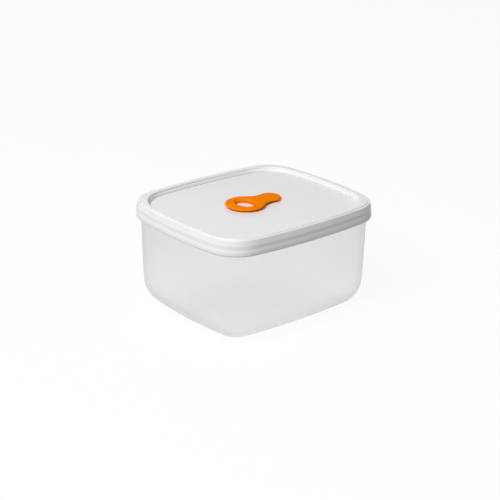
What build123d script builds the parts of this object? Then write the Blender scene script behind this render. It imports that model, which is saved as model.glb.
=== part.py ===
from build123d import *

import os
from math import atan2, cos, degrees, hypot, radians, sin, sqrt, tan

# Lidded freezer box for breast milk storage: a translucent box body, a soft lid that snaps over its rim,
# and a silicone vent valve pushed into the lid. Lengths are in millimetres and angles in degrees.
# The origin is on the floor under the middle of the box, +X runs along the long side and +Z is up.
# "Inset" is the distance inwards from the widest outline of the lid, seen from above.

# Overall size, over the lid
length = 120.0
width = 105.0
height = 65.0

# Plan shape: four gently bowed sides joined by round corners
long_side_radius = 375.0
short_side_radius = 254.0
corner_radius = 20.8

# Lid: rim, seen in section from the recess outwards and down
rim_width = 5.0
rim_roof = 1.2
recess_depth = 2.8
recess_wall_run = 1.25
recess_corner_radius = 23.0
recess_edge_round = 0.5
recess_foot_round = 0.2
wall_groove_drop = 0.5
wall_groove_height = 0.5
wall_groove_depth = 0.4
gutter_width = 0.6
gutter_depth = 0.4
panel_thickness = 1.2
crease_inset = 2.3
crease_width = 0.6
crease_depth = 0.6
ledge_drop = 0.4
crown_inset = 1.15
crown_round = 0.5
shoulder_drop = 3.6
shoulder_foot_round = 0.8
face_inset = 0.35
skirt_height = 9.8
skirt_thickness = 1.5
lip_flare_top = 4.2
lip_flare_bottom = 2.6
lip_flare_round = 1.5
lip_nose_round = 1.2
lip_inner_round = 0.2
channel_round = 1.5
deck_lap = 0.3

# Lid: snap bead inside the skirt and plug lip inside the mouth of the box
snap_bead_height = 1.0
snap_bead_stand = 0.15
plug_lip_depth = 3.6
plug_lip_thickness = 1.1
plug_lip_round = 0.4

# Box body
wall = 1.2
floor_thickness = 1.4
wall_draft = 1.6
wall_inset_at_lip = 2.5
box_corner_growth = 1.2
base_round = 17.7
rim_bead_drop = 1.0
rim_bead_height = 1.4
rim_bead_round = 0.3
rim_outer_round = 0.7
rim_inner_round = 0.2
foot_width = 4.0
foot_corner_radius = 6.0
foot_recess_depth = 0.8
foot_recess_round = 0.4
gate_radius = 3.0
gate_depth = 0.3

# Clearances between lid and box
skirt_gap = 0.3
plug_gap = 0.3

# Vent valve: outline of its flat part, a ring and a tail joined by a waist
valve_ring_radius = 11.75
valve_tail_radius = 6.6
valve_centre_distance = 18.65
valve_waist_radius = 11.0
valve_thickness = 2.25
valve_edge_round = 0.7
valve_undercut_height = 1.4
valve_undercut_run = 3.2
finger_hole_length = 9.2
finger_hole_width = 12.4
finger_hole_round = 1.5
finger_ring_band = 7.3

# Vent valve: plug, anchor stud and hinge
vent_plug_radius = 2.5
vent_plug_tip_radius = 1.3
vent_plug_depth = 2.8
vent_plug_reach = 6.6
vent_hole_gap = 0.3
anchor_stud_radius = 1.6
anchor_head_radius = 2.6
anchor_head_tip_radius = 1.1
anchor_head_height = 2.4
anchor_hole_gap = 0.1
stud_tip_round = 0.4
hinge_slit = 0.3

# Heights that follow from the sizes above
lip_bottom = height - skirt_height
roof_bottom = height - rim_roof
panel_top = height - recess_depth
panel_bottom = panel_top - panel_thickness
plug_lip_bottom = panel_bottom - plug_lip_depth
rim_bead_top = roof_bottom - rim_bead_drop
rim_bead_bottom = rim_bead_top - rim_bead_height

# Places along X that follow from the sizes above
valve_length = valve_ring_radius + valve_centre_distance + valve_tail_radius
ring_x = valve_ring_radius - valve_length / 2
tail_x = ring_x + valve_centre_distance
finger_hole_x = ring_x - valve_ring_radius + finger_ring_band + finger_hole_length / 2


def meet(centre_a, reach_a, centre_b, reach_b):
    """The point at these distances from two centres, on the left of the way from a to b."""
    apart = hypot(centre_b[0] - centre_a[0], centre_b[1] - centre_a[1])
    along = (reach_a**2 - reach_b**2 + apart**2) / (2 * apart)
    across = sqrt(reach_a**2 - along**2)
    towards = atan2(centre_b[1] - centre_a[1], centre_b[0] - centre_a[0])
    return (
        centre_a[0] + along * cos(towards) - across * sin(towards),
        centre_a[1] + along * sin(towards) + across * cos(towards),
    )


def beyond(start, through, distance):
    """The point at this distance from start, on the line from start through another point."""
    angle = atan2(through[1] - start[1], through[0] - start[0])
    return (start[0] + distance * cos(angle), start[1] + distance * sin(angle))


def closed_arcs(points, z):
    """Closed wire at height z. Even points lie in the middle of an arc, and odd ones join two arcs."""
    at = [(x, y, z) for x, y in points]
    return Wire([ThreePointArc(at[i - 1], at[i], at[i + 1]) for i in range(0, len(at), 2)])


def outline(inset, corner, z):
    """Closed outline at height z: bowed sides at this inset, joined by tangent corners of this radius."""
    long_centre = (0, width / 2 - long_side_radius)
    short_centre = (length / 2 - short_side_radius, 0)
    long_radius = long_side_radius - inset
    short_radius = short_side_radius - inset
    corner_centre = meet(short_centre, short_radius - corner, long_centre, long_radius - corner)
    on_short = beyond(short_centre, corner_centre, short_radius)
    on_long = beyond(long_centre, corner_centre, long_radius)
    chord_middle = ((on_short[0] + on_long[0]) / 2, (on_short[1] + on_long[1]) / 2)
    on_corner = beyond(corner_centre, chord_middle, corner)
    quarter = [(length / 2 - inset, 0), on_short, on_corner, on_long, (0, width / 2 - inset)]
    half = quarter + [(-x, y) for x, y in reversed(quarter[:-1])]
    return closed_arcs(half + [(-x, -y) for x, y in half[1:-1]], z)


def plate(inset, corner, bottom, top):
    """Upright block on one outline, between two heights."""
    return extrude(make_face(outline(inset, corner, bottom).edges()), amount=top - bottom)


def lid_corner(inset):
    """Corner radius of the lid's outlines, which are all parallel."""
    return corner_radius - inset


def box_corner(inset):
    """Corner radius of the box's outlines, which are parallel to each other and rounder than the lid's."""
    return corner_radius + box_corner_growth - inset


def wall_inset(z):
    """Inset of the outside of the box wall at height z."""
    return wall_inset_at_lip + (lip_bottom - z) * tan(radians(wall_draft))


def tapered_block(inset_at_top, corner_at_top, top, bottom, taper, foot_round):
    """Block that narrows downwards from an outline, with its foot edge rounded."""
    face = make_face(outline(inset_at_top, corner_at_top, top).edges())
    block = extrude(face, amount=top - bottom, dir=(0, 0, -1), taper=taper)
    return fillet(block.edges().group_by(Axis.Z)[0], foot_round)


def swept_rim(corners):
    """Ring right round the lid, from the corners of its section: inset, height and rounding of each."""
    path = outline(0, lid_corner(0), 0)
    along = path % 0
    section_plane = Plane(origin=path @ 0, x_dir=Vector(0, 0, 1).cross(along), z_dir=along)
    places = [(inset, z) for inset, z, _ in corners]
    section = FilletPolyline(*places, radius=[rounding for _, _, rounding in corners], close=True)
    return sweep(section_plane * make_face(section.edges()), path=path)


def top_face(solid):
    return solid.faces().sort_by(Axis.Z)[-1]


def make_box_body():
    """Thin-walled box with a bead round its rim, a round base edge and a foot ring under the base."""
    outer_inset = wall_inset(roof_bottom)
    inner_inset = outer_inset + wall
    outer_corner = box_corner(outer_inset)
    inner_corner = box_corner(inner_inset)
    inner_base_round = base_round - wall
    outside = tapered_block(outer_inset, outer_corner, roof_bottom, 0, wall_draft, base_round)
    outside = fillet(top_face(outside).edges(), rim_outer_round)
    cavity = tapered_block(
        inner_inset, inner_corner, roof_bottom, floor_thickness, wall_draft, inner_base_round
    )
    bead_inset = skirt_thickness + snap_bead_stand + skirt_gap
    rim_bead = plate(bead_inset, lid_corner(bead_inset), rim_bead_bottom, rim_bead_top)
    rim_bead = fillet(rim_bead.faces().filter_by(Plane.XY).edges(), rim_bead_round)

    # The base is pushed up inside its foot ring, so the floor rises with it.
    foot_inset = wall_inset(0) + base_round + foot_width
    foot_recess = plate(foot_inset, foot_corner_radius, 0, foot_recess_depth)
    foot_recess = fillet(foot_recess.edges().group_by(Axis.Z)[-1], foot_recess_round)
    raised_inset = foot_inset - floor_thickness
    raised_corner = foot_corner_radius + floor_thickness
    raised_floor = plate(raised_inset, raised_corner, foot_recess_depth, foot_recess_depth + floor_thickness)
    raised_floor = fillet(raised_floor.edges().group_by(Axis.Z)[-1], foot_recess_round)
    gate_mark = Pos(0, 0, foot_recess_depth) * Cylinder(gate_radius, 2 * gate_depth)

    body = outside + rim_bead - cavity + raised_floor - foot_recess - gate_mark
    return fillet(top_face(body).inner_wires()[0].edges(), rim_inner_round)


def recess_wall_inset(z):
    """Inset of the recess wall at height z."""
    return rim_width + recess_wall_run * (height - z) / recess_depth


def recess_plate(inset, bottom, top):
    """Upright block on an outline parallel to the recess's, between two heights."""
    return plate(inset, recess_corner_radius + rim_width - inset, bottom, top)


def make_deck():
    """The lid inside its rim: the inner part of the rim's roof, the recess wall and the panel."""
    deck_inset = crease_inset + crease_width / 2 + deck_lap
    deck = plate(deck_inset, lid_corner(deck_inset), roof_bottom, height)
    deck += recess_plate(recess_wall_inset(roof_bottom) - rim_roof, panel_bottom, roof_bottom)
    wall_slope = degrees(atan2(recess_wall_run, recess_depth))
    deck -= tapered_block(
        rim_width, recess_corner_radius, height, panel_top, wall_slope, recess_foot_round
    )
    deck = fillet(top_face(deck).inner_wires()[0].edges(), recess_edge_round)

    # A fine groove runs round the recess wall near its top, and a gutter round the panel at its foot.
    groove_top = height - wall_groove_drop
    groove_bottom = groove_top - wall_groove_height
    groove_inset = recess_wall_inset(groove_bottom) - wall_groove_depth
    gutter_inset = recess_wall_inset(panel_top) - recess_foot_round
    gutter_top = panel_top + recess_foot_round
    gutter_bottom = panel_top - gutter_depth
    gutter = recess_plate(gutter_inset, gutter_bottom, gutter_top)
    gutter -= recess_plate(gutter_inset + gutter_width, gutter_bottom, gutter_top)
    return deck - recess_plate(groove_inset, groove_bottom, groove_top) - gutter


def make_lid():
    """Recessed panel in a raised hollow rim, with a skirt outside the box and a plug lip inside it."""
    snap_middle = rim_bead_bottom - snap_bead_height
    seam_inset = crease_inset + crease_width / 2 + 2 * deck_lap
    rim = swept_rim(
        [
            (seam_inset, height, 0),
            (crease_inset + crease_width / 2, height, 0),
            (crease_inset, height - crease_depth, 0),
            (crease_inset - crease_width / 2, height - ledge_drop, 0),
            (crown_inset, height - ledge_drop, crown_round),
            (face_inset, height - shoulder_drop, shoulder_foot_round),
            (face_inset, lip_bottom + lip_flare_top, lip_flare_round),
            (0, lip_bottom + lip_flare_bottom, lip_flare_round),
            (0, lip_bottom, lip_nose_round),
            (skirt_thickness, lip_bottom, lip_inner_round),
            (skirt_thickness, snap_middle - snap_bead_height / 2, 0),
            (skirt_thickness + snap_bead_stand, snap_middle, 0),
            (skirt_thickness, snap_middle + snap_bead_height / 2, 0),
            (skirt_thickness, roof_bottom, channel_round),
            (seam_inset, roof_bottom, 0),
        ]
    )

    lip_top = roof_bottom + rim_roof / 2
    lip_inset = wall_inset(plug_lip_bottom) + wall + plug_gap
    lip_hollow_inset = lip_inset + plug_lip_thickness
    lip = plate(lip_inset, box_corner(lip_inset), plug_lip_bottom, lip_top)
    lip -= plate(lip_hollow_inset, box_corner(lip_hollow_inset), plug_lip_bottom, lip_top)
    lip = fillet(lip.edges().group_by(Axis.Z)[0], plug_lip_round)

    drill_length = 4 * panel_thickness
    vent_hole = Pos(vent_x, 0, panel_top) * Cylinder(vent_plug_radius + vent_hole_gap, drill_length)
    anchor_hole = Pos(tail_x, 0, panel_top) * Cylinder(anchor_stud_radius + anchor_hole_gap, drill_length)
    return rim + make_deck() + lip - vent_hole - anchor_hole


def waist_centre():
    """Centre of the hollow arc that joins ring and tail, on the +Y side."""
    ring_reach = valve_ring_radius + valve_waist_radius
    tail_reach = valve_tail_radius + valve_waist_radius
    return meet((ring_x, 0), ring_reach, (tail_x, 0), tail_reach)


hinge_x = waist_centre()[0]
vent_x = hinge_x - vent_plug_reach


def valve_face(inset, z):
    """Face at height z, inside the valve's outline at this inset: ring, waist, tail and waist again."""
    centre = waist_centre()
    ring_radius = valve_ring_radius - inset
    tail_radius = valve_tail_radius - inset
    ring_end = beyond((ring_x, 0), centre, ring_radius)
    tail_end = beyond((tail_x, 0), centre, tail_radius)
    waist = (centre[0], centre[1] - valve_waist_radius - inset)
    upper = [(ring_x - ring_radius, 0), ring_end, waist, tail_end]
    far_end = (tail_x + tail_radius, 0)
    lower = [(x, -y) for x, y in reversed(upper[1:])]
    return make_face(closed_arcs(upper + [far_end] + lower, z).edges())


def make_valve_flat():
    """The whole flat part of the valve, undercut round its edge and open in the middle of its ring."""
    edge_z = panel_top + valve_undercut_height
    widest = valve_face(0, edge_z)
    foot = loft([valve_face(valve_undercut_run, panel_top), widest], ruled=True)
    flat = foot + extrude(widest, amount=valve_thickness - valve_undercut_height)
    flat = fillet(top_face(flat).edges(), valve_edge_round)
    hole = Ellipse(finger_hole_length / 2, finger_hole_width / 2)
    flat -= extrude(Pos(finger_hole_x, 0, panel_top) * hole, amount=valve_thickness)
    return fillet(top_face(flat).inner_wires()[0].edges(), finger_hole_round)


def make_vent_pull_ring(flat):
    """Ring side of the valve, up to its hinge, with the plug that closes the vent hole."""
    ring = split(flat, Plane.YZ.offset(hinge_x - hinge_slit / 2), keep=Keep.BOTTOM)
    plug = Cone(vent_plug_tip_radius, vent_plug_radius, vent_plug_depth)
    plug = fillet(plug.edges().group_by(Axis.Z)[0], stud_tip_round)
    return ring + Pos(vent_x, 0, panel_top - vent_plug_depth / 2) * plug


def make_vent_anchor_tab(flat):
    """Tail side of the valve, with the stud and barbed head that hold it in the lid."""
    tab = split(flat, Plane.YZ.offset(hinge_x + hinge_slit / 2), keep=Keep.TOP)
    stud = Pos(tail_x, 0, panel_top - panel_thickness / 2) * Cylinder(anchor_stud_radius, panel_thickness)
    head = Cone(anchor_head_tip_radius, anchor_head_radius, anchor_head_height)
    head = fillet(head.edges().group_by(Axis.Z)[0], stud_tip_round)
    return tab + stud + Pos(tail_x, 0, panel_bottom - anchor_head_height / 2) * head


valve_flat = make_valve_flat()
nodes = {
    "box_body": make_box_body(),
    "lid": make_lid(),
    "vent_pull_ring": make_vent_pull_ring(valve_flat),
    "vent_anchor_tab": make_vent_anchor_tab(valve_flat),
}
os.makedirs("parts", exist_ok=True)
for name, node in nodes.items():
    export_step(node, f"parts/{name}.step")
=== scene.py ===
from math import atan2, cos, pi, radians, sin, sqrt

import bpy
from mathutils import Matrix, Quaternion, Vector


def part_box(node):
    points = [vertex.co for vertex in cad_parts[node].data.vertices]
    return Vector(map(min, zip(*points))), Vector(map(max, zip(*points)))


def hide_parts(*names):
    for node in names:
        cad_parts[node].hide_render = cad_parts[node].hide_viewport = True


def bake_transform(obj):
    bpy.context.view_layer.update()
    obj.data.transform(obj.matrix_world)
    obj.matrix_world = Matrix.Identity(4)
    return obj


# Lengths are in metres. +X runs along the long side, from the valve's pull ring to its tail, and +Z is up.
MM = 0.001

# Camera. The frame is square.
CAMERA_PLACE = (-0.4864, -0.57483, 0.33131)
CAMERA_AIM = (0.00059, 0.00378, 0.032)
CAMERA_ROLL_DEGREES = 0.704
CAMERA_LENS_MM = 99.09
CAMERA_CLIP = (0.01, 50.0)

# Light. A strength of 1 is white.
SKY_STRENGTH = 0.2
FLOOR_HALF_SIDE = 4
FLOOR_BOUNCE = 0.5
FLOOR_GLOW_SHARE = 0.93
KEY_PLACE = (-0.8, -0.19, 1.0)
KEY_AIM = (0, 0, 0.05)
KEY_SIDE = 0.7
KEY_POWER = 14.4

# Valve: what the frame doesn't give. Its undercut and the finger hole's edge are how far in and how high they go,
# and rows are the shares of that at which the mesh has a loop.
VALVE_THICKNESS = 2.25 * MM
VALVE_WAIST_RADIUS = 11.0 * MM
VALVE_UNDERCUT = (2.6 * MM, 1.25 * MM)
VALVE_UNDERCUT_ROWS = (0.5, 0.9)
VALVE_NOSE_TOP = 1.4 * MM
VALVE_EDGE_RUN = 1.1 * MM
FOOT_ROUND = 0.4 * MM
FOOT_ROUND_RISE = 0.1 * FOOT_ROUND
FINGER_HOLE_RADII = (4.6 * MM, 6.2 * MM)
FINGER_HOLE_OFFSET = 0.15 * MM
FINGER_HOLE_EDGE = (1.5 * MM, 1.6 * MM)
FINGER_HOLE_ROWS = (0, 0.33, 0.67)
FINGER_HOLE_LIP = 0.5 * MM
PANEL_THICKNESS = 1.2 * MM

# Vent plug: its distance from the hinge, and its section as radii and heights from the valve's underside
VENT_REACH = 6.6 * MM
VENT_PLUG = ((2.5 * MM, 0.0), (2.4 * MM, -0.25 * MM), (1.6 * MM, -2.5 * MM), (1.25 * MM, -2.8 * MM))

# Anchor under the lid: a stud and a barbed head that narrows to its tip. The shares are of the head's height.
ANCHOR_STUD_RADIUS = 1.6 * MM
ANCHOR_HEAD_RADIUS = 2.6 * MM
ANCHOR_HEAD_HEIGHT = 2.4 * MM
ANCHOR_BARB_SHARE = 0.15
ANCHOR_TIP_RADIUS = 1.1 * MM
ANCHOR_TIP_SHARE = 0.05
ANCHOR_FLAT_RADIUS = 0.7 * ANCHOR_TIP_RADIUS

# Fineness of the valve's mesh
ARC_STEP = 0.6 * MM
ARC_STEPS_LEAST = 4
EDGE_STEPS = 7
BRIDGE_ROWS = 26
LATHE_STEPS = 40
SHARP_EDGE_DEGREES = 40

# Looks. A grain is its size, its depth, and the lowest and highest roughness. Wall and silicone colours go upwards:
# the wall's darker upper colour is painted shade, and the silicone's dark red lower colour is painted shade.
NOISE_SPREAD = (0.3, 0.7)
# Painted shade: the wall's second, upper colour is darker, to offset the brighter light on the upper wall.
WALL_PAINTED_SHADE_COLOURS = ((0.937, 0.939, 0.939), (0.876, 0.878, 0.878))
WALL_GRAIN = (0.5 * MM, 0.012 * MM, 0.36, 0.44)
WALL_IOR = 1.15
LID_COLOURS = ((0.85, 0.85, 0.857), (0.865, 0.865, 0.872))
LID_CLOUD_SIZE = 20 * MM
LID_GRAIN = (0.35 * MM, 0.006 * MM, 0.3, 0.4)
LID_IOR = 1.49
# Painted shade: the first silicone colour is the dark red of the shaded underside and hole wall, the second the lit
# orange.
SILICONE_PAINTED_SHADE_COLOURS = ((0.95, 0.06, 0.0), (1.0, 0.25, 0.0))
SILICONE_TOP_SHARE = 0.25
SILICONE_GRAIN = (0.3 * MM, 0.006 * MM, 0.42, 0.52)
SILICONE_IOR = 1.41
SILICONE_GLOSS = 0.005


# ---------------------------------------------------------------- outlines


def arc(centre, radius, start, end, hollow=False):
    """Points and outward normals along an arc, without its last point. Angles are in radians."""
    count = max(ARC_STEPS_LEAST, round(abs(end - start) * radius / ARC_STEP))
    made = []
    for i in range(count):
        angle = start + (end - start) * i / count
        away = Vector((cos(angle), sin(angle)))
        made.append((Vector(centre) + radius * away, -away if hollow else away))
    return made


def valve_outline(ring_x, ring_radius, tail_x, tail_radius):
    """Points and outward normals of the gourd shape, from its ring end round to its tail and back."""
    apart = tail_x - ring_x
    ring_reach = ring_radius + VALVE_WAIST_RADIUS
    tail_reach = tail_radius + VALVE_WAIST_RADIUS
    waist_x = (ring_reach**2 - tail_reach**2 + apart**2) / (2 * apart)
    waist_y = sqrt(ring_reach**2 - waist_x**2)
    on_ring = atan2(waist_y, waist_x)
    on_tail = atan2(waist_y, waist_x - apart)
    waist = (ring_x + waist_x, waist_y)
    lower_waist = (ring_x + waist_x, -waist_y)
    return (
        arc((ring_x, 0), ring_radius, pi, on_ring)
        + arc(waist, VALVE_WAIST_RADIUS, on_ring - pi, on_tail - pi, hollow=True)
        + arc((tail_x, 0), tail_radius, on_tail, -on_tail)
        + arc(lower_waist, VALVE_WAIST_RADIUS, pi - on_tail, pi - on_ring, hollow=True)
        + arc((ring_x, 0), ring_radius, -on_ring, -pi)
    )


def ellipse_facing(edge, inwards, centre, radii):
    """The point and inward-facing normal of an ellipse that lie towards each point inside this edge."""
    made = []
    for point, outward in edge:
        towards = point - inwards * outward - Vector(centre)
        angle = atan2(towards.y / radii[1], towards.x / radii[0])
        place = Vector(centre) + Vector((radii[0] * cos(angle), radii[1] * sin(angle)))
        normal = Vector((cos(angle) / radii[0], sin(angle) / radii[1])).normalized()
        made.append((place, -normal))
    return made


# ---------------------------------------------------------------- meshes


def mesh_object(name, places, faces):
    mesh = bpy.data.meshes.new(name)
    mesh.from_pydata([tuple(place) for place in places], [], faces)
    mesh.validate()
    mesh.shade_smooth()
    made = bpy.data.objects.new(name, mesh)
    bpy.context.scene.collection.objects.link(made)
    return made


def skin(name, loops):
    """Closed ring of quads through equally long closed loops. The last loop joins the first again."""
    count = len(loops[0])
    places = [place for loop in loops for place in loop]
    faces = []
    for row in range(len(loops)):
        below = row * count
        above = (row + 1) % len(loops) * count
        for i in range(count):
            j = (i + 1) % count
            faces.append((below + i, above + i, above + j, below + j))
    return mesh_object(name, places, faces)


def lathe(name, centre_x, section):
    """Solid of revolution about an upright axis at y = 0, from (radius, height) points listed downwards."""
    places = [(centre_x, 0, section[0][1])]
    for radius, z in section:
        for i in range(LATHE_STEPS):
            angle = 2 * pi * i / LATHE_STEPS
            places.append((centre_x + radius * cos(angle), radius * sin(angle), z))
    places.append((centre_x, 0, section[-1][1]))
    last = len(places) - 1
    faces = []
    for i in range(LATHE_STEPS):
        j = (i + 1) % LATHE_STEPS
        faces.append((0, 1 + i, 1 + j))
        for row in range(len(section) - 1):
            above = 1 + row * LATHE_STEPS
            below = above + LATHE_STEPS
            faces.append((above + i, below + i, below + j, above + j))
        bottom = 1 + (len(section) - 1) * LATHE_STEPS
        faces.append((last, bottom + j, bottom + i))
    return mesh_object(name, places, faces)


def join_solids(base, others):
    """Makes one closed mesh of base and the solids that reach into it."""
    for other in others:
        union = base.modifiers.new("union", "BOOLEAN")
        union.operation = "UNION"
        union.solver = "EXACT"
        union.object = other
    bpy.context.view_layer.update()
    evaluated = base.evaluated_get(bpy.context.evaluated_depsgraph_get())
    joined = bpy.data.meshes.new_from_object(evaluated)
    base.modifiers.clear()
    base.data = joined
    for other in others:
        bpy.data.objects.remove(other)


def rounding(run, low, high):
    """How far in and how high each loop of a rounded upper edge lies, from the side up to the flat."""
    angles = [pi / 2 * i / EDGE_STEPS for i in range(EDGE_STEPS + 1)]
    return [(run * (1 - cos(angle)), low + (high - low) * sin(angle)) for angle in angles]


def side_curve(bottom, top):
    """The outer edge of the valve, from its foot out to its nose and round onto its top."""
    run, height = VALVE_UNDERCUT
    foot = [(run, bottom), (run - FOOT_ROUND, bottom + FOOT_ROUND_RISE)]
    slope = [(run * (1 - share), bottom + height * share) for share in VALVE_UNDERCUT_ROWS]
    return foot + slope + rounding(VALVE_EDGE_RUN, bottom + VALVE_NOSE_TOP, top)


def hole_curve(bottom, top):
    """The wall of the finger hole: an upright foot, a funnel and a tight round onto the top."""
    run, depth = FINGER_HOLE_EDGE
    foot = top - depth
    angles = [pi / 4 + pi / 4 * i / EDGE_STEPS for i in range(EDGE_STEPS + 1)]
    lip = [(run - FINGER_HOLE_LIP * cos(a), top - FINGER_HOLE_LIP * (1 - sin(a))) for a in angles]
    reach, height = lip[0]
    funnel = [(reach * share, foot + (height - foot) * share) for share in FINGER_HOLE_ROWS]
    return [(0, bottom), (0, (bottom + foot) / 2)] + funnel + lip


def make_valve():
    """One closed piece that stands for both ends of the valve."""
    ring_low, ring_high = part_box("vent_pull_ring")
    tab_low, tab_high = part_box("vent_anchor_tab")
    top = ring_high.z
    bottom = top - VALVE_THICKNESS
    ring_radius = (ring_high.y - ring_low.y) / 2
    tail_radius = (tab_high.y - tab_low.y) / 2
    ring_x = ring_low.x + ring_radius
    tail_x = tab_high.x - tail_radius
    hinge_x = (ring_high.x + tab_low.x) / 2

    rim = valve_outline(ring_x, ring_radius, tail_x, tail_radius)
    hole_centre = (ring_x + FINGER_HOLE_OFFSET, 0)
    hole = ellipse_facing(rim, VALVE_UNDERCUT[0], hole_centre, FINGER_HOLE_RADII)

    def loop(edge, inwards, z):
        return [Vector((*(point - inwards * normal), z)) for point, normal in edge]

    def bridge(outer, inner):
        shares = [row / BRIDGE_ROWS for row in range(1, BRIDGE_ROWS)]
        return [[a.lerp(b, share) for a, b in zip(outer, inner)] for share in shares]

    side = [loop(rim, inwards, z) for inwards, z in side_curve(bottom, top)]
    wall = [loop(hole, inwards, z) for inwards, z in reversed(hole_curve(bottom, top))]
    valve = skin("vent_valve", side + bridge(side[-1], wall[0]) + wall + bridge(wall[-1], side[0]))

    plug_x = hinge_x - VENT_REACH
    inside = [(VENT_PLUG[0][0], bottom + VALVE_THICKNESS / 2)]
    plug = lathe("plug", plug_x, inside + [(radius, bottom + z) for radius, z in VENT_PLUG])
    under = bottom - PANEL_THICKNESS
    head_bottom = under - ANCHOR_HEAD_HEIGHT
    anchor = lathe(
        "anchor",
        tail_x,
        [
            (ANCHOR_STUD_RADIUS, bottom + VALVE_THICKNESS / 2),
            (ANCHOR_STUD_RADIUS, under),
            (ANCHOR_HEAD_RADIUS, under),
            (ANCHOR_HEAD_RADIUS, under - ANCHOR_BARB_SHARE * ANCHOR_HEAD_HEIGHT),
            (ANCHOR_TIP_RADIUS, head_bottom + ANCHOR_TIP_SHARE * ANCHOR_HEAD_HEIGHT),
            (ANCHOR_FLAT_RADIUS, head_bottom),
        ],
    )
    join_solids(valve, [plug, anchor])
    valve.data.materials.append(silicone_material())
    valve.data.set_sharp_from_angle(angle=radians(SHARP_EDGE_DEGREES))
    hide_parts("vent_pull_ring", "vent_anchor_tab")
    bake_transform(valve)


# ---------------------------------------------------------------- materials


def new_material(name):
    material = bpy.data.materials.new(name)
    material.use_nodes = True
    return material, material.node_tree.nodes, material.node_tree.links


def noise(nodes, links, grain):
    """Noise in object space, with grains of about this size in metres."""
    place = nodes.new("ShaderNodeTexCoord")
    texture = nodes.new("ShaderNodeTexNoise")
    texture.inputs["Scale"].default_value = 1 / grain
    links.new(place.outputs["Object"], texture.inputs["Vector"])
    return texture.outputs["Fac"]


def between(nodes, links, value, low, high):
    """Maps a 0 to 1 noise to a range, with most of the noise's spread used."""
    mapped = nodes.new("ShaderNodeMapRange")
    mapped.inputs["From Min"].default_value = NOISE_SPREAD[0]
    mapped.inputs["From Max"].default_value = NOISE_SPREAD[1]
    mapped.inputs["To Min"].default_value = low
    mapped.inputs["To Max"].default_value = high
    links.new(value, mapped.inputs["Value"])
    return mapped.outputs["Result"]


def two_tone(nodes, links, value, first, second):
    mix = nodes.new("ShaderNodeMix")
    mix.data_type = "RGBA"
    links.new(value, mix.inputs["Factor"])
    mix.inputs["A"].default_value = (*first, 1)
    mix.inputs["B"].default_value = (*second, 1)
    return mix.outputs["Result"]


def height_share(nodes, links, low, high):
    """0 at one height and 1 at the other, and even between them."""
    place = nodes.new("ShaderNodeTexCoord")
    upright = nodes.new("ShaderNodeSeparateXYZ")
    links.new(place.outputs["Object"], upright.inputs[0])
    share = nodes.new("ShaderNodeMapRange")
    share.inputs["From Min"].default_value = low
    share.inputs["From Max"].default_value = high
    links.new(upright.outputs["Z"], share.inputs["Value"])
    return share.outputs["Result"]


def add_grain(nodes, links, grain):
    """Gives a surface its fine moulded relief, and lets its roughness vary with it."""
    size, depth, smoothest, roughest = grain
    shader = nodes["Principled BSDF"]
    value = noise(nodes, links, size)
    links.new(between(nodes, links, value, smoothest, roughest), shader.inputs["Roughness"])
    bump = nodes.new("ShaderNodeBump")
    bump.inputs["Distance"].default_value = depth
    links.new(value, bump.inputs["Height"])
    links.new(bump.outputs["Normal"], shader.inputs["Normal"])


def frosted_material():
    """Milky translucent polypropylene: light comes through it, but shapes behind it blur away."""
    material, nodes, links = new_material("frosted_polypropylene")
    shader = nodes["Principled BSDF"]
    # Painted shade: the wall is coloured darker towards its top, against the brighter light there.
    height = height_share(nodes, links, 0.0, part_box("box_body")[1].z)
    links.new(two_tone(nodes, links, height, *WALL_PAINTED_SHADE_COLOURS), shader.inputs["Base Color"])
    add_grain(nodes, links, WALL_GRAIN)
    shader.inputs["Transmission Weight"].default_value = 1.0
    shader.inputs["IOR"].default_value = WALL_IOR
    return material


def lid_material():
    """Opaque white moulded plastic, satin and very slightly uneven in tone."""
    material, nodes, links = new_material("white_lid_plastic")
    shader = nodes["Principled BSDF"]
    cloud = between(nodes, links, noise(nodes, links, LID_CLOUD_SIZE), 0, 1)
    links.new(two_tone(nodes, links, cloud, *LID_COLOURS), shader.inputs["Base Color"])
    add_grain(nodes, links, LID_GRAIN)
    shader.inputs["IOR"].default_value = LID_IOR
    return material


def silicone_material():
    """Orange silicone with hardly any gloss, with painted shade that makes it darker and redder towards its
    underside.
    """
    material, nodes, links = new_material("orange_silicone")
    shader = nodes["Principled BSDF"]
    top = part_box("vent_pull_ring")[1].z
    # Painted shade: dark red low down, orange near the top, standing in for the shadow under the nose and down the
    # finger hole.
    height = height_share(nodes, links, top - VALVE_THICKNESS, top - SILICONE_TOP_SHARE * VALVE_THICKNESS)
    links.new(two_tone(nodes, links, height, *SILICONE_PAINTED_SHADE_COLOURS), shader.inputs["Base Color"])
    add_grain(nodes, links, SILICONE_GRAIN)
    shader.inputs["IOR"].default_value = SILICONE_IOR
    shader.inputs["Specular IOR Level"].default_value = SILICONE_GLOSS
    return material


# ---------------------------------------------------------------- studio


def background_rays(nodes, links):
    """1 for rays that show the background in the picture, in a reflection or through the frosted wall."""
    path = nodes.new("ShaderNodeLightPath")
    seen = path.outputs["Is Camera Ray"]
    for kind in ("Is Glossy Ray", "Is Transmission Ray"):
        either = nodes.new("ShaderNodeMath")
        either.operation = "MAXIMUM"
        links.new(seen, either.inputs[0])
        links.new(path.outputs[kind], either.inputs[1])
        seen = either.outputs[0]
    return seen


def make_world():
    """Even, dim sky that shows as plain white."""
    world = bpy.data.worlds.new("studio")
    bpy.context.scene.world = world
    world.use_nodes = True
    nodes, links = world.node_tree.nodes, world.node_tree.links
    strength = nodes.new("ShaderNodeMix")
    strength.inputs["A"].default_value = SKY_STRENGTH
    strength.inputs["B"].default_value = 1.0
    links.new(background_rays(nodes, links), strength.inputs["Factor"])
    background = nodes["Background"]
    background.inputs["Color"].default_value = (1, 1, 1, 1)
    links.new(strength.outputs["Result"], background.inputs["Strength"])


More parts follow.
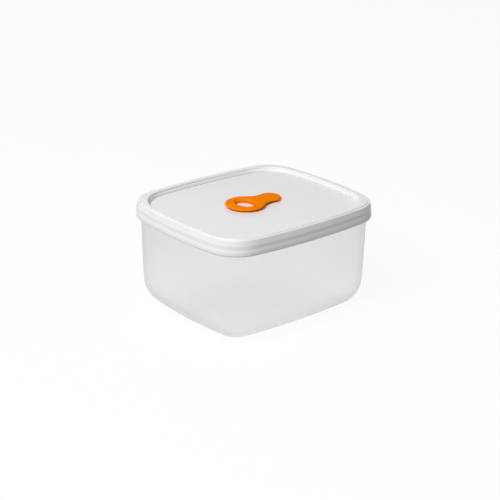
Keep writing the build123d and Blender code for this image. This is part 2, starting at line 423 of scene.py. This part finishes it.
def make_floor():
    """Floor that shows as nearly plain white and keeps a soft shadow."""
    side = FLOOR_HALF_SIDE
    corners = [(-side, -side, 0), (side, -side, 0), (side, side, 0), (-side, side, 0)]
    floor = mesh_object("floor", corners, [(0, 1, 2, 3)])
    material, nodes, links = new_material("white_floor")
    nodes.remove(nodes["Principled BSDF"])
    seen = background_rays(nodes, links)
    tone = nodes.new("ShaderNodeMix")
    tone.data_type = "RGBA"
    tone.inputs["A"].default_value = (FLOOR_BOUNCE, FLOOR_BOUNCE, FLOOR_BOUNCE, 1)
    tone.inputs["B"].default_value = (1, 1, 1, 1)
    links.new(seen, tone.inputs["Factor"])
    diffuse = nodes.new("ShaderNodeBsdfDiffuse")
    links.new(tone.outputs["Result"], diffuse.inputs["Color"])
    glow = nodes.new("ShaderNodeEmission")
    share = nodes.new("ShaderNodeMath")
    share.operation = "MULTIPLY"
    share.inputs[1].default_value = FLOOR_GLOW_SHARE
    links.new(seen, share.inputs[0])
    mix = nodes.new("ShaderNodeMixShader")
    links.new(share.outputs[0], mix.inputs["Fac"])
    links.new(diffuse.outputs[0], mix.inputs[1])
    links.new(glow.outputs[0], mix.inputs[2])
    links.new(mix.outputs[0], nodes["Material Output"].inputs["Surface"])
    floor.data.materials.append(material)


def make_key_light():
    """Soft box high on the front left."""
    data = bpy.data.lights.new("key", "AREA")
    data.size = KEY_SIDE
    data.energy = KEY_POWER
    lamp = bpy.data.objects.new("key", data)
    bpy.context.scene.collection.objects.link(lamp)
    lamp.location = KEY_PLACE
    lamp.rotation_mode = "QUATERNION"
    lamp.rotation_quaternion = (Vector(KEY_AIM) - Vector(KEY_PLACE)).to_track_quat("-Z", "Y")


def make_camera():
    data = bpy.data.cameras.new("camera")
    data.lens = CAMERA_LENS_MM
    data.clip_start, data.clip_end = CAMERA_CLIP
    camera = bpy.data.objects.new("camera", data)
    bpy.context.scene.collection.objects.link(camera)
    level = (Vector(CAMERA_AIM) - Vector(CAMERA_PLACE)).to_track_quat("-Z", "Y")
    camera.location = CAMERA_PLACE
    camera.rotation_mode = "QUATERNION"
    camera.rotation_quaternion = level @ Quaternion((0, 0, 1), radians(CAMERA_ROLL_DEGREES))
    bpy.context.scene.camera = camera


def give_material(node, material):
    """Replaces the plain material of a CAD node."""
    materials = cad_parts[node].data.materials
    materials.clear()
    materials.append(material)


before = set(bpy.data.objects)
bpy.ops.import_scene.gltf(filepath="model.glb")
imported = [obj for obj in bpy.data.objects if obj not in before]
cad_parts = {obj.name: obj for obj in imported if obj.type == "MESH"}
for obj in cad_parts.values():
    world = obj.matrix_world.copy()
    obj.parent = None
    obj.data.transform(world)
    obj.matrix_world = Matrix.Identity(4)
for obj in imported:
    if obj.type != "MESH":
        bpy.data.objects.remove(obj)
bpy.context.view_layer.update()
bpy.context.scene.view_settings.view_transform = "Standard"
make_camera()
make_world()
make_floor()
make_key_light()
give_material("box_body", frosted_material())
give_material("lid", lid_material())
make_valve()
